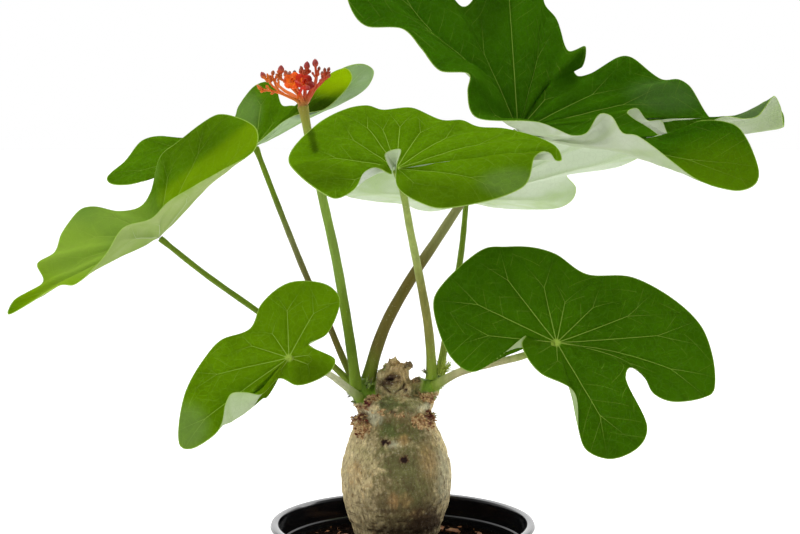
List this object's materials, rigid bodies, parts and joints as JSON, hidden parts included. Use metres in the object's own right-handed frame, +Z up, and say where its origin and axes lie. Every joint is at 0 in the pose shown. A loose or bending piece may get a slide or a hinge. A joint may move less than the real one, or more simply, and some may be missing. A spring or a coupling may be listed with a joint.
{
  "type": "potted caudex plant",
  "caption": "Swollen woody stem with broad lobed leaves on long stalks and a coral flower head, standing in soil in a round nursery pot.",
  "frame": {"origin": "middle of the pot's flat underside, on the surface that it stands on", "axes": "+Z up along the pot's axis, -Y towards the side that the plant shows best, +X to the right of that side"},
  "size_m": [0.3732, 0.2053, 0.4062],
  "materials": {
    "pot": "glossy black injection-moulded plastic",
    "soil": "dark crumbly potting mix with bark chips",
    "bark": "smooth tan bark with corky scars and green shoots",
    "leafstalk": "smooth green to olive brown stalk",
    "leaf": "semi-gloss green upper face, pale matt underside",
    "flower_stalk": "smooth glaucous green stalk",
    "flower_head": "coral twigs and buds with darker tips",
    "petal": "soft orange petals"
  },
  "bodies": {
    "root": {"pot": "pot", "soil": "soil", "stem": "bark", "leafstalk_near_left": "leafstalk", "leaf_near_left": "leaf", "leafstalk_far_left": "leafstalk", "leaf_far_left": "leaf", "leafstalk_high_left": "leafstalk", "leaf_high_left": "leaf", "leafstalk_middle": "leafstalk", "leaf_middle": "leaf", "leafstalk_back": "leafstalk", "leaf_back": "leaf", "leafstalk_near_right": "leafstalk", "leaf_near_right": "leaf", "leafstalk_high_right": "leafstalk", "leaf_high_right": "leaf", "flower_stalk": "flower_stalk", "flower_head": "flower_head", "open_flower_left": "petal", "open_flower_right": "petal"}
  },
  "joints": []
}
